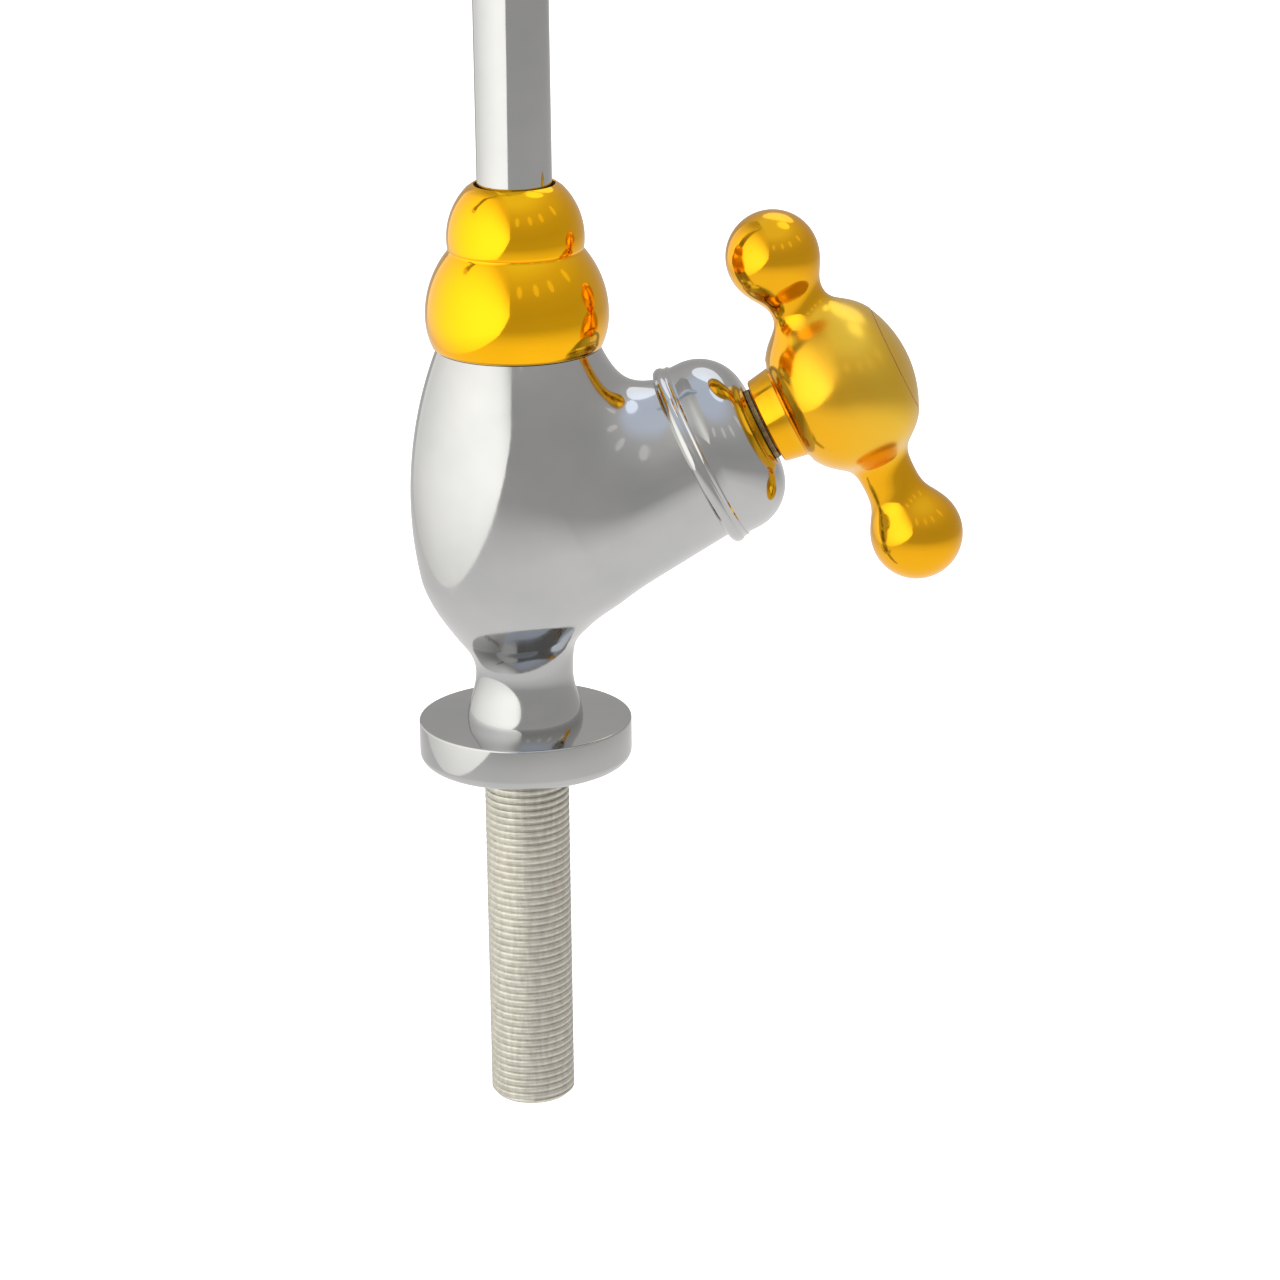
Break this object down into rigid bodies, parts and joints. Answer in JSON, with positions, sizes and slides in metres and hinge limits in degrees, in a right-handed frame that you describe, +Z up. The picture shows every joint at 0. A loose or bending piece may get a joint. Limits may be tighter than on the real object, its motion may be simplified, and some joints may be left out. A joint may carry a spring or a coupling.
{
  "type": "pillar tap",
  "caption": "Deck-mounted pillar tap with a vase-shaped body, an inclined compression valve, a two-ball handle and a swivelling gooseneck spout.",
  "frame": {"origin": "centre of the deck flange's underside, on the axis of the threaded shank", "axes": "+Z up the body and the spout's riser, +X towards the valve branch and handle, the spout's outlet over -X at rest"},
  "size_m": [0.2494, 0.0536, 0.406],
  "materials": {
    "chrome_body": "polished chrome plate",
    "nickel_thread": "satin nickel plate on a cut thread",
    "gold_plate": "polished gold plate",
    "brass_inner": "machined brass",
    "black_rubber": "matt rubber",
    "red_fibre": "vulcanised fibre",
    "white_ptfe": "white PTFE",
    "steel_screw": "stainless steel",
    "grey_plastic": "moulded plastic"
  },
  "bodies": {
    "valve_body": {"body_casting": "chrome_body", "threaded_shank": "nickel_thread", "base_flange": "chrome_body", "base_gasket": "black_rubber", "headworks_body": "brass_inner", "headworks_washer": "red_fibre", "bonnet_cover": "chrome_body", "gland_packing": "white_ptfe", "gland_nut": "brass_inner", "spout_collar": "gold_plate", "slide_washer": "white_ptfe"},
    "lift": {"jumper": "brass_inner", "seat_washer": "black_rubber", "jumper_nut": "brass_inner"},
    "turn": {"spindle": "brass_inner", "handle": "gold_plate", "handle_screw": "steel_screw", "index_cap": "gold_plate"},
    "spout": {"spout_ferrule": "brass_inner", "swivel_o_rings": "black_rubber", "spout_tube": "chrome_body", "aerator_housing": "chrome_body", "aerator_washer": "black_rubber", "aerator_insert": "grey_plastic"}
  },
  "joints": [
    {"name": "jumper_lift", "type": "slide", "parent": "valve_body", "child": "lift", "axis": [0.8988, 0, 0.4384], "range_m": [0, 0.00525]},
    {"name": "handle_turn", "type": "hinge", "parent": "lift", "child": "turn", "pos_m": [0.0781, 0, 0.09369], "axis": [0.8988, 0, 0.4384], "range_deg": [0, 630]},
    {"name": "spout_swivel", "type": "hinge", "parent": "valve_body", "child": "spout", "pos_m": [0, 0, 0.11], "axis": [0, 0, 1], "continuous": true}
  ],
  "couplings": [
    {"joint": "jumper_lift", "follows": "handle_turn", "m_per_rad": 0.00047746}
  ]
}
